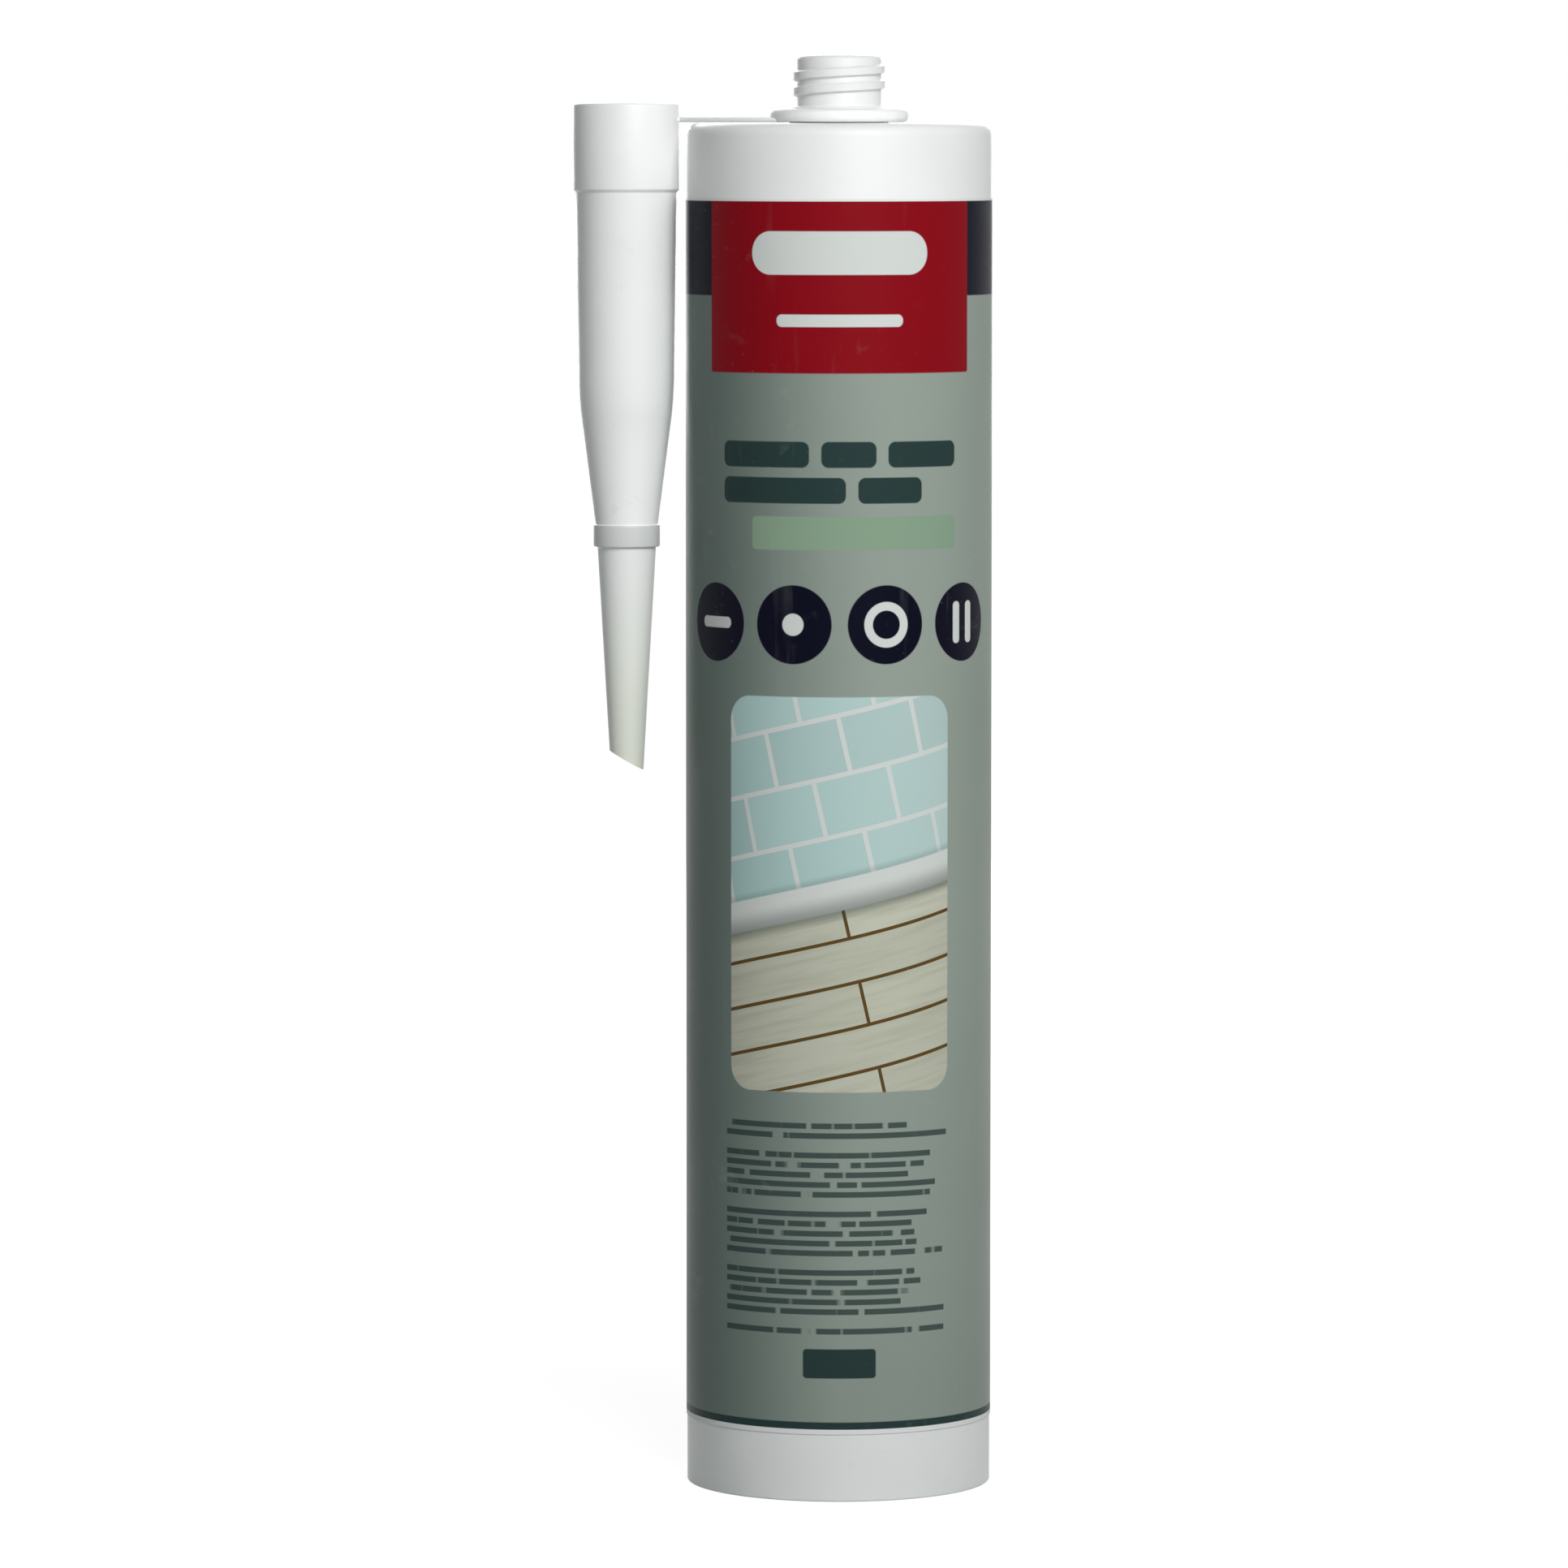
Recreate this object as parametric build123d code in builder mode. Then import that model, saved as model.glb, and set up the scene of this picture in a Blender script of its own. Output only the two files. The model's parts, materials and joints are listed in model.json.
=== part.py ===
"""A sealant cartridge standing on its open rear end, with its nozzle hung beside it by an eyelet.

Frame: the origin is the centre of the rear opening, +Z runs up the cartridge to its neck,
the label faces -Y and the nozzle hangs at -X.
"""

import os
from math import cos, radians, sin

from build123d import *

os.makedirs("parts", exist_ok=True)

# Driving dimensions of the cartridge, in millimetres
TUBE_DIAMETER = 50.0
TUBE_WALL = 1.5
BODY_HEIGHT = 224.0
SHOULDER_THICKNESS = 2.2
SHOULDER_EDGE = 2.0
RIM_EDGE = 0.3
LEAD_IN_WIDENING = 0.25
LEAD_IN_LENGTH = 22.0
LEAD_IN_RAMP = 2.0

# Driving dimensions of the neck
NECK_DIAMETER = 15.0
NECK_HEIGHT = 11.0
NECK_WALL = 2.3
NECK_EDGE = 0.8
NECK_MEMBRANE = 1.2
NECK_BASE_WIDENING = 0.5
NECK_BASE_HEIGHT = 2.6

# Driving dimensions of the label
LABEL_THICKNESS = 0.1
LABEL_ADHESIVE = 0.05
LABEL_TOP_MARGIN = 12.2
LABEL_BOTTOM_MARGIN = 11.1
LABEL_SEAM = 2.0

# Driving dimensions of the piston, which starts above the lead-in
PISTON_HEIGHT = 20.0
PISTON_RECESS = 28.0
PISTON_FIT = 0.06
PISTON_SKIRT_CLEARANCE = 0.7
PISTON_SKIRT_WALL = 1.6
PISTON_PLATE = 2.0
LIP_RISE = 0.9
LIP_LAND = 1.0
LIP_END_MARGIN = 1.4
PISTON_CUP_STEP = 0.6
HUB_DIAMETER = 11.0
RIB_COUNT = 8
RIB_THICKNESS = 1.4
RIB_HEIGHT = 3.5

# Driving dimension of the sealant: its clearance from the pieces around it
SEALANT_CLEARANCE = 0.12

# Driving dimensions of the nozzle, measured down from its open end
NOZZLE_LENGTH = 109.4
NOZZLE_RISE = 3.2
NOZZLE_TUBE_GAP = 1.0
COLLAR_DIAMETER = 17.4
COLLAR_HEIGHT = 14.5
COLLAR_EDGE = 0.4
SOCKET_CLEARANCE = 0.15
SOCKET_DEPTH = 12.5
SKIRT_TOP_DIAMETER = 16.5
SKIRT_END_DIAMETER = 15.6
SKIRT_END = 48.0
CONE_END_DIAMETER = 10.2
CONE_END = 69.0
RING_DIAMETER = 10.9
RING_HEIGHT = 3.6
TIP_TOP_DIAMETER = 9.6
TIP_END_DIAMETER = 5.4
SKIRT_WALL = 1.3
TIP_WALL = 1.0
TIP_CUT_ANGLE = 30.0

# Driving dimensions of the strap and the eyelet that hold the nozzle to the neck
EYELET_CLEARANCE = 0.3
EYELET_WIDTH = 3.1
EYELET_THICKNESS = 2.2
EYELET_LIFT = 0.15
STRAP_THICKNESS = 0.8
STRAP_WIDTH_AT_EYELET = 9.0
STRAP_WIDTH_AT_COLLAR = 4.0

# Sizes worked out from the driving dimensions
tube_r = TUBE_DIAMETER / 2
bore_r = tube_r - TUBE_WALL
lead_in_r = bore_r + LEAD_IN_WIDENING
shoulder_under = BODY_HEIGHT - SHOULDER_THICKNESS
neck_r = NECK_DIAMETER / 2
neck_bore_r = neck_r - NECK_WALL
neck_base_r = neck_r + NECK_BASE_WIDENING
neck_base_top = BODY_HEIGHT + NECK_BASE_HEIGHT
neck_top = BODY_HEIGHT + NECK_HEIGHT
membrane_under = neck_top - NECK_MEMBRANE
inner_edge = SHOULDER_EDGE / 2

# How near an edge's radius is to the one that is looked for
SAME_RADIUS = 1e-4

# Cartridge: one moulding of tube, shoulder and closed neck
with BuildPart() as cartridge:
    with BuildSketch(Plane.XZ):
        with BuildLine():
            Polyline(
                (lead_in_r, 0),
                (tube_r, 0),
                (tube_r, BODY_HEIGHT),
                (neck_base_r, BODY_HEIGHT),
                (neck_base_r, neck_base_top),
                (neck_r, neck_base_top),
                (neck_r, neck_top),
                (0, neck_top),
                (0, membrane_under),
                (neck_bore_r, membrane_under),
                (neck_bore_r, shoulder_under),
                (bore_r, shoulder_under),
                (bore_r, LEAD_IN_LENGTH + LEAD_IN_RAMP),
                (lead_in_r, LEAD_IN_LENGTH),
                close=True,
            )
        make_face()
    revolve(axis=Axis.Z)
    circles = cartridge.edges().filter_by(GeomType.CIRCLE)
    outer_edges = circles.filter_by(lambda e: abs(e.radius - tube_r) < SAME_RADIUS).sort_by(Axis.Z)
    neck_edges = circles.filter_by(lambda e: abs(e.radius - neck_r) < SAME_RADIUS).sort_by(Axis.Z)
    bore_edges = circles.filter_by(lambda e: abs(e.radius - bore_r) < SAME_RADIUS).sort_by(Axis.Z)
    fillet(outer_edges[-1], SHOULDER_EDGE)
    chamfer(neck_edges[-1], NECK_EDGE)
    chamfer(bore_edges[-1], inner_edge)
    chamfer(outer_edges[0], RIM_EDGE)

# Label: a printed film wrapped once round the tube, its ends meeting at a seam on the back
label_height = BODY_HEIGHT - LABEL_TOP_MARGIN - LABEL_BOTTOM_MARGIN
label_in_r = tube_r + LABEL_ADHESIVE
label_r = label_in_r + LABEL_THICKNESS
with BuildPart() as label:
    with BuildSketch(Plane.XY.offset(LABEL_BOTTOM_MARGIN)):
        Circle(label_r)
        Circle(label_in_r, mode=Mode.SUBTRACT)
        with Locations((0, label_r)):
            Rectangle(LABEL_SEAM, tube_r, mode=Mode.SUBTRACT)
    extrude(amount=label_height)

# Piston: a cup open to the rear, with two sealing lips and a ribbed front plate
lip_r = bore_r - PISTON_FIT
skirt_r = bore_r - PISTON_SKIRT_CLEARANCE
skirt_in_r = skirt_r - PISTON_SKIRT_WALL
hub_r = HUB_DIAMETER / 2
piston_front = PISTON_RECESS + PISTON_HEIGHT
plate_under = piston_front - PISTON_PLATE
lip_height = LIP_LAND + 2 * LIP_RISE
rear_lip = PISTON_RECESS + LIP_END_MARGIN
front_lip = piston_front - LIP_END_MARGIN - lip_height
rib_bottom = plate_under - RIB_HEIGHT
plate_well_r = skirt_in_r - PISTON_CUP_STEP
with BuildPart() as piston:
    with BuildSketch(Plane.XZ):
        with BuildLine():
            Polyline(
                (skirt_in_r, PISTON_RECESS),
                (skirt_r, PISTON_RECESS),
                (skirt_r, rear_lip),
                (lip_r, rear_lip + LIP_RISE),
                (lip_r, rear_lip + LIP_RISE + LIP_LAND),
                (skirt_r, rear_lip + lip_height),
                (skirt_r, front_lip),
                (lip_r, front_lip + LIP_RISE),
                (lip_r, front_lip + LIP_RISE + LIP_LAND),
                (skirt_r, front_lip + lip_height),
                (skirt_r - inner_edge, piston_front),
                (0, piston_front),
                (0, plate_under),
                (plate_well_r, plate_under),
                (plate_well_r, rib_bottom),
                (skirt_in_r, rib_bottom),
                close=True,
            )
        make_face()
    revolve(axis=Axis.Z)
    with BuildSketch(Plane.XY.offset(rib_bottom)):
        with PolarLocations((hub_r + plate_well_r) / 2, RIB_COUNT):
            Rectangle(plate_well_r - hub_r + PISTON_CUP_STEP, RIB_THICKNESS)
        Circle(hub_r)
    extrude(amount=RIB_HEIGHT)

# Sealant: the paste that fills the cartridge from the piston up into the neck
fill_r = bore_r - SEALANT_CLEARANCE
fill_bottom = piston_front + SEALANT_CLEARANCE
fill_top = shoulder_under - SEALANT_CLEARANCE
neck_fill_r = neck_bore_r - SEALANT_CLEARANCE
neck_fill_top = membrane_under - SEALANT_CLEARANCE
with BuildPart() as sealant:
    with BuildSketch(Plane.XZ):
        with BuildLine():
            Polyline(
                (0, fill_bottom),
                (fill_r, fill_bottom),
                (fill_r, fill_top - inner_edge),
                (fill_r - inner_edge, fill_top),
                (neck_fill_r, fill_top),
                (neck_fill_r, neck_fill_top),
                (0, neck_fill_top),
                close=True,
            )
        make_face()
    revolve(axis=Axis.Z)

# Nozzle: one moulding of threaded collar, skirt, cone, stop ring, tip, strap and eyelet
collar_r = COLLAR_DIAMETER / 2
socket_r = neck_r + SOCKET_CLEARANCE
skirt_top_r = SKIRT_TOP_DIAMETER / 2
skirt_end_r = SKIRT_END_DIAMETER / 2
cone_end_r = CONE_END_DIAMETER / 2
ring_r = RING_DIAMETER / 2
tip_top_r = TIP_TOP_DIAMETER / 2
tip_end_r = TIP_END_DIAMETER / 2
tip_start = CONE_END + RING_HEIGHT
nozzle_x = -(label_r + NOZZLE_TUBE_GAP + collar_r)
nozzle_top = BODY_HEIGHT + NOZZLE_RISE
nozzle_plane = Plane(origin=(nozzle_x, 0, nozzle_top), x_dir=(1, 0, 0), z_dir=(0, -1, 0))
nozzle_axis = Axis((nozzle_x, 0, nozzle_top), (0, 0, 1))
eyelet_hole_r = neck_base_r + EYELET_CLEARANCE
eyelet_r = eyelet_hole_r + EYELET_WIDTH
eyelet_bottom = BODY_HEIGHT + EYELET_LIFT
with BuildPart() as nozzle:
    with BuildSketch(nozzle_plane):
        with BuildLine():
            Polyline(
                (0, 0),
                (collar_r - COLLAR_EDGE, 0),
                (collar_r, -COLLAR_EDGE),
                (collar_r, -COLLAR_HEIGHT + (collar_r - skirt_top_r)),
                (skirt_top_r, -COLLAR_HEIGHT),
                (skirt_end_r, -SKIRT_END),
                (cone_end_r, -CONE_END),
                (ring_r, -CONE_END - (ring_r - cone_end_r)),
                (ring_r, -tip_start + (ring_r - cone_end_r)),
                (cone_end_r, -tip_start),
                (tip_top_r, -tip_start),
                (tip_end_r, -NOZZLE_LENGTH),
                (0, -NOZZLE_LENGTH),
                close=True,
            )
        make_face()
    revolve(axis=nozzle_axis)

    # Eyelet round the neck, and the strap that narrows towards the collar so that it tears off there
    with BuildSketch(Plane.XY.offset(eyelet_bottom)):
        Circle(eyelet_r)
    extrude(amount=EYELET_THICKNESS)
    with BuildSketch(Plane.XY.offset(eyelet_bottom)):
        with BuildLine():
            Polyline(
                (-eyelet_hole_r, -STRAP_WIDTH_AT_EYELET / 2),
                (-eyelet_hole_r, STRAP_WIDTH_AT_EYELET / 2),
                (nozzle_x + collar_r, STRAP_WIDTH_AT_COLLAR / 2),
                (nozzle_x, STRAP_WIDTH_AT_COLLAR / 2),
                (nozzle_x, -STRAP_WIDTH_AT_COLLAR / 2),
                (nozzle_x + collar_r, -STRAP_WIDTH_AT_COLLAR / 2),
                close=True,
            )
        make_face()
    extrude(amount=STRAP_THICKNESS)
    with BuildSketch(Plane.XY.offset(eyelet_bottom)):
        Circle(eyelet_hole_r)
    extrude(amount=EYELET_THICKNESS, mode=Mode.SUBTRACT)

    # Passage from the socket to the tip
    with BuildSketch(nozzle_plane):
        with BuildLine():
            Polyline(
                (0, 0),
                (socket_r, 0),
                (socket_r, -SOCKET_DEPTH),
                (skirt_end_r - SKIRT_WALL, -SOCKET_DEPTH),
                (skirt_end_r - SKIRT_WALL, -SKIRT_END),
                (cone_end_r - SKIRT_WALL, -CONE_END),
                (tip_top_r - TIP_WALL, -tip_start),
                (tip_end_r - TIP_WALL, -NOZZLE_LENGTH),
                (0, -NOZZLE_LENGTH),
                close=True,
            )
        make_face()
    revolve(axis=nozzle_axis, mode=Mode.SUBTRACT)

    # Slanted cut across the end of the tip
    cut_angle = radians(TIP_CUT_ANGLE)
    cut_plane = Plane(
        origin=(nozzle_x + tip_end_r, 0, nozzle_top - NOZZLE_LENGTH),
        x_dir=(0, 1, 0),
        z_dir=(sin(cut_angle), 0, cos(cut_angle)),
    )
    split(bisect_by=cut_plane, keep=Keep.TOP)

cartridge.part.label = "cartridge"
label.part.label = "label"
piston.part.label = "piston"
sealant.part.label = "sealant"
nozzle.part.label = "nozzle"

export_step(cartridge.part, "parts/cartridge.step")
export_step(label.part, "parts/label.step")
export_step(piston.part, "parts/piston.step")
export_step(sealant.part, "parts/sealant.step")
export_step(nozzle.part, "parts/nozzle.step")
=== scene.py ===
"""Sealant cartridge with a hanging nozzle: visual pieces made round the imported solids."""

import json
from collections import namedtuple
from math import atan2, hypot, pi, radians, tau

import bmesh
import bpy
from bpy.props import FloatProperty, FloatVectorProperty, PointerProperty
from bpy.types import NodeSocket, Operator, Panel, PropertyGroup, Scene
from mathutils import Matrix, Vector


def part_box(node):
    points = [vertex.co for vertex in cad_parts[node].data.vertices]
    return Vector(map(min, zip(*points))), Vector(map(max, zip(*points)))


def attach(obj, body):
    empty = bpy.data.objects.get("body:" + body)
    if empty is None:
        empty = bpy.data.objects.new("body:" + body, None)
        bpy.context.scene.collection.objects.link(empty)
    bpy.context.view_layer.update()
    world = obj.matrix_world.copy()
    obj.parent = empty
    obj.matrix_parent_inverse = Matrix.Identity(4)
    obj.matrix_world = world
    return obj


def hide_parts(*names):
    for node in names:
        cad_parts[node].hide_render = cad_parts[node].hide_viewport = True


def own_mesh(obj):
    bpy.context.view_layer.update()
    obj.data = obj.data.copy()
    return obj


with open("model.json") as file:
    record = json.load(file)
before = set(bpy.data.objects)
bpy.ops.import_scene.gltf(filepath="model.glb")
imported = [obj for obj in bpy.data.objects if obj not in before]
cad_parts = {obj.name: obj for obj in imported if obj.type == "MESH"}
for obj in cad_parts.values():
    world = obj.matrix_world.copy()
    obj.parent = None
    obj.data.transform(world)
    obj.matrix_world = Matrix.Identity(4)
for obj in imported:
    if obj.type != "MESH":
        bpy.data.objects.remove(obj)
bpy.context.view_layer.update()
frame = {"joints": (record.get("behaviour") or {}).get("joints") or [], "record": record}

bl_info = {
    "name": "Sealant Cartridge",
    "version": (1, 0, 0),
    "blender": (4, 5, 0),
    "location": "3D View > Sidebar > Cartridge",
    "description": "Builds a sealant cartridge with its label, piston, sealant and hanging nozzle",
    "category": "Add Mesh",
}

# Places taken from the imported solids, in metres
tube_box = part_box("cartridge")
label_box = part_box("label")
piston_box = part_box("piston")
sealant_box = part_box("sealant")
nozzle_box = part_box("nozzle")
mounts = {mount["name"]: mount for mount in frame["record"]["mounts"]}
MILLIMETRE = 0.001
ORIGIN = (0.0, 0.0, 0.0)

# Fineness of round forms
ROUND_STEPS = 192
SMALL_ROUND_STEPS = 96
CORNER_SEGMENTS = 4
PLATE_SEGMENTS = 2
MERGE_DISTANCE = 1e-7
SMOOTH_ANGLE = radians(32)

# Rounding of an edge as a share of the thickness or of the step that it ends
SOFT_EDGE = 0.4
RING_EDGE = 0.8

# Half widths of a thread's base and crest as shares of its pitch
NECK_RIDGE = (0.38, 0.22)
SOCKET_RIDGE = (0.25, 0.075)

# Share of a turn over which a thread fades in or out
THREAD_FADE = 0.12


def mount_size(name, size):
    """One stated size of a mount, in metres."""
    return mounts[name]["dims"][size] * MILLIMETRE


def length(name, description, default):
    """A property for a length in metres."""
    return FloatProperty(
        name=name, description=description, default=default, min=0.0, precision=5, unit="LENGTH"
    )


def colour(name, thing, default):
    """A property for the linear colour of a thing."""
    words = f"Colour of {thing}"
    return FloatVectorProperty(
        name=name, description=words, default=default, min=0.0, max=1.0, size=3, subtype="COLOR"
    )


class TubeSettings(PropertyGroup):
    """Sizes and colour of the tube, shoulder and neck."""

    shoulder_height: length("Shoulder height", "Height of the flat shoulder", 0.224)
    shoulder_thickness: length("Shoulder thickness", "Thickness of the shoulder", 0.0022)
    shoulder_edge: length("Shoulder edge", "Rounding of the shoulder's edge", 0.002)
    rim_edge: length("Rim edge", "Rounding of the rear rim", 0.0003)
    bore: length("Bore radius", "Inside radius of the tube above the lead-in", 0.0235)
    lead_in_ramp: length("Lead-in ramp", "Height over which the lead-in narrows", 0.002)
    neck_base: length("Neck base radius", "Radius of the plain foot of the neck", 0.008)
    neck_base_height: length("Neck base height", "Height of the plain foot of the neck", 0.0026)
    neck_bore: length("Neck bore radius", "Inside radius of the neck", 0.0052)
    neck_edge: length("Neck edge", "Rounding of the neck's top edge", 0.0008)
    membrane: length("Membrane", "Thickness of the closed top of the neck", 0.0012)
    thread_depth: length("Thread depth", "Height of the thread above its root", 0.0006)
    thread_pitch: length("Thread pitch", "Rise of the thread in one turn", 0.0025)
    plastic: colour("Plastic", "the white moulding", (0.86, 0.87, 0.868))


class LabelSettings(PropertyGroup):
    """Sizes and colours of the printed label."""

    thickness: length("Film thickness", "Thickness of the film", 0.0001)
    seam: length("Seam", "Gap between the film's two ends", 0.002)
    film: colour("Film", "the film's unprinted edges", (0.80, 0.815, 0.81))
    ground: colour("Ground", "the plain print", (0.310, 0.360, 0.318))
    # Painted shade: the ground turns to this darker colour towards the left of the front and towards
    # its foot
    ground_painted_shade: colour("Shaded ground", "the plain print where it is darker", (0.165, 0.208, 0.190))
    navy: colour("Navy", "the band and the discs", (0.002, 0.0024, 0.010))
    red: colour("Red", "the panel", (0.25, 0.004, 0.010))
    white: colour("White", "the pale print", (0.66, 0.69, 0.67))
    ink: colour("Ink", "the dark print", (0.022, 0.045, 0.043))
    green: colour("Green", "the pale strip", (0.25, 0.36, 0.255))
    teal: colour("Teal", "the wall in the picture", (0.43, 0.62, 0.60))
    beige: colour("Beige", "the floor in the picture", (0.58, 0.59, 0.48))
    brown: colour("Brown", "the gaps and grain in the picture", (0.115, 0.066, 0.019))


class PistonSettings(PropertyGroup):
    """Sizes and colour of the piston."""

    skirt: length("Skirt radius", "Radius of the skirt between the lips", 0.0228)
    plate: length("Plate", "Thickness of the front plate", 0.002)
    cup_step: length("Cup step", "Step from the cup to the well behind the plate", 0.0006)
    lip_rise: length("Lip rise", "Height of each sloping side of a lip", 0.0009)
    lip_land: length("Lip land", "Height of the flat top of a lip", 0.001)
    lip_margin: length("Lip margin", "Distance of a lip from the piston's end", 0.0014)
    front_edge: length("Front edge", "Width of the sloping front edge", 0.001)
    hub: length("Hub radius", "Radius of the hub behind the plate", 0.0055)
    rib: length("Rib thickness", "Thickness of each rib", 0.0014)
    rib_height: length("Rib height", "Height of the ribs and the hub", 0.0035)
    plastic: colour("Plastic", "the piston", (0.76, 0.77, 0.75))


class NozzleSettings(PropertyGroup):
    """Sizes and colours of the nozzle, measured down from its open end."""

    collar: length("Collar radius", "Outside radius of the collar", 0.0087)
    collar_height: length("Collar height", "Height of the collar", 0.0145)
    collar_edge: length("Collar edge", "Rounding of the collar's edges", 0.0004)
    skirt_top: length("Skirt top radius", "Radius of the skirt below the collar", 0.00825)
    skirt_end: length("Skirt end radius", "Radius of the skirt where the cone starts", 0.0078)
    skirt_length: length("Skirt end", "Distance from the open end to the start of the cone", 0.048)
    skirt_wall: length("Skirt wall", "Wall along the cone and at the end of the skirt", 0.0013)
    skirt_blend: length("Skirt blend", "Rounding between the skirt and the cone", 0.003)
    cone_end: length("Cone end radius", "Radius of the cone at the stop ring", 0.0051)
    cone_length: length("Cone end", "Distance from the open end to the stop ring", 0.069)
    ring: length("Ring radius", "Radius of the stop ring", 0.00545)
    ring_height: length("Ring height", "Height of the stop ring", 0.0036)
    tip_top: length("Tip top radius", "Radius of the tip below the ring", 0.0048)
    tip_end: length("Tip end radius", "Radius at the end of the tip", 0.0027)
    tip_wall: length("Tip wall", "Wall of the tip", 0.001)
    tip_cut: FloatProperty(
        name="Tip cut", description="Slant of the tip's end", default=radians(30), unit="ROTATION"
    )
    eyelet_hole: length("Eyelet hole radius", "Radius of the eyelet's hole", 0.0083)
    eyelet_thickness: length("Eyelet thickness", "Thickness of the eyelet", 0.0022)
    eyelet_lift: length("Eyelet lift", "Gap between the eyelet and the shoulder", 0.00015)
    strap: length("Strap thickness", "Thickness of the strap", 0.0008)
    strap_wide: length("Strap width at eyelet", "Width of the strap at the eyelet", 0.009)
    strap_narrow: length("Strap width at collar", "Width of the strap at the collar", 0.004)
    thread_depth: length("Thread depth", "Height of the thread inside the collar", 0.0007)
    plastic: colour("Plastic", "the nozzle", (0.92, 0.93, 0.922))
    thin_plastic: colour("Thin plastic", "the tip, whose wall is thin", (0.76, 0.785, 0.70))
    # Painted shade: a darker colour laid on the stop ring in place of the shade along it
    ring_painted_shade: colour("Ring plastic", "the thick stop ring", (0.68, 0.695, 0.688))
    strap_plastic: colour("Strap plastic", "the thin strap", (0.60, 0.62, 0.595))


class StageSettings(PropertyGroup):
    """Camera, light and floor."""

    distance: length("Camera distance", "Distance of the camera in front of the tube's axis", 1.39)
    camera_height: length("Camera height", "Height of the camera", 0.224)
    aim_height: length("Aim height", "Height that the camera looks at", 0.1154)
    aim_side: FloatProperty(
        name="Aim side", description="Sideways place of the camera", default=-0.0090, unit="LENGTH"
    )
    view_width: length("View width", "Width of the view at the tube's axis", 0.2584)
    floor: colour("Floor", "the floor", (0.48, 0.51, 0.50))


# Mesh making


def rounded(bm, geom, offset, segments, **more):
    """Rounds the given vertices or edges."""
    bmesh.ops.bevel(
        bm,
        geom=geom,
        offset=offset,
        offset_type="OFFSET",
        segments=segments,
        profile=0.5,
        material=-1,
        **more,
    )


def sweep(bm, centre, angle, steps, **more):
    """Spins all that a bmesh holds round an upright axis."""
    bmesh.ops.spin(
        bm,
        geom=bm.verts[:] + bm.edges[:],
        cent=(centre, 0.0, 0.0),
        axis=(0.0, 0.0, 1.0),
        angle=angle,
        steps=steps,
        **more,
    )


def open_edges(bm):
    """The edges that have a face on one side only."""
    return [edge for edge in bm.edges if edge.is_boundary]


def chain(bm, points, centre, closed=False):
    """A line of vertices in the half plane beside an upright axis, with its corners rounded.

    Each point is a radius, a height and the rounding of its corner.
    """
    verts = [bm.verts.new((centre + radius, 0.0, height)) for radius, height, _ in points]
    for start, end in zip(verts, verts[1:]):
        bm.edges.new((start, end))
    if closed:
        bm.edges.new((verts[-1], verts[0]))
    for vert, (_, _, rounding) in zip(verts, points):
        if rounding:
            rounded(bm, [vert], rounding, CORNER_SEGMENTS, affect="VERTICES")


def spun(points, steps, centre=0.0, closed=False):
    """A turned form: the line through the points, spun once round an upright axis."""
    bm = bmesh.new()
    chain(bm, points, centre, closed)
    sweep(bm, centre, tau, steps, use_merge=True)
    return settled(bm)


def settled(bm):
    """The same mesh with its doubles merged and its faces turned outwards."""
    bmesh.ops.remove_doubles(bm, verts=bm.verts, dist=MERGE_DISTANCE)
    bmesh.ops.recalc_face_normals(bm, faces=bm.faces)
    return bm


def plate(corners, thickness, rounding):
    """A flat plate with the given corners, made thick along its normal, with rounded edges."""
    bm = bmesh.new()
    verts = [bm.verts.new(corner) for corner in corners]
    face = bm.faces.new(verts)
    face.normal_update()
    push = face.normal * thickness
    pulled = bmesh.ops.extrude_face_region(bm, geom=[face], use_keep_orig=True)
    moved = [item for item in pulled["geom"] if isinstance(item, bmesh.types.BMVert)]
    bmesh.ops.translate(bm, verts=moved, vec=push)
    bmesh.ops.recalc_face_normals(bm, faces=bm.faces)
    rounded(bm, bm.edges[:], rounding, PLATE_SEGMENTS, affect="EDGES", clamp_overlap=True)
    return settled(bm)


def thread(root, crest, bottom, top, pitch, halves, centre=0.0):
    """A helical ridge from root to crest radius that fades out at both ends."""
    bm = bmesh.new()
    turns = (top - bottom) / pitch
    half_base, half_crest = (pitch * share for share in halves)
    section = ((root, -half_base), (crest, -half_crest), (crest, half_crest), (root, half_base))
    first = [bm.verts.new((centre + radius, 0.0, bottom + rise)) for radius, rise in section]
    for start, end in zip(first, first[1:] + first[:1]):
        bm.edges.new((start, end))
    steps = round(turns * SMALL_ROUND_STEPS)
    sweep(bm, centre, tau * turns, steps, dvec=(0.0, 0.0, pitch * turns / steps))
    for vert in bm.verts:
        across = Vector((vert.co.x - centre, vert.co.y))
        part_turn = (atan2(across.y, across.x) % tau) / tau
        turn = part_turn + round((vert.co.z - bottom) / pitch - part_turn)
        fade = max(0.0, min(1.0, turn / THREAD_FADE, (turns - turn) / THREAD_FADE))
        across *= (root + (across.length - root) * fade) / across.length
        vert.co.x = centre + across.x
        vert.co.y = across.y
    bmesh.ops.holes_fill(bm, edges=open_edges(bm), sides=4)
    bmesh.ops.recalc_face_normals(bm, faces=bm.faces)
    return bm


def joined(parts):
    """One bmesh that holds all the parts."""
    whole = bmesh.new()
    for part in parts:
        mesh = bpy.data.meshes.new("part")
        part.to_mesh(mesh)
        part.free()
        whole.from_mesh(mesh)
        bpy.data.meshes.remove(mesh)
    return whole


def show(item):
    """Puts an object in the scene."""
    bpy.context.scene.collection.objects.link(item)


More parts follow.
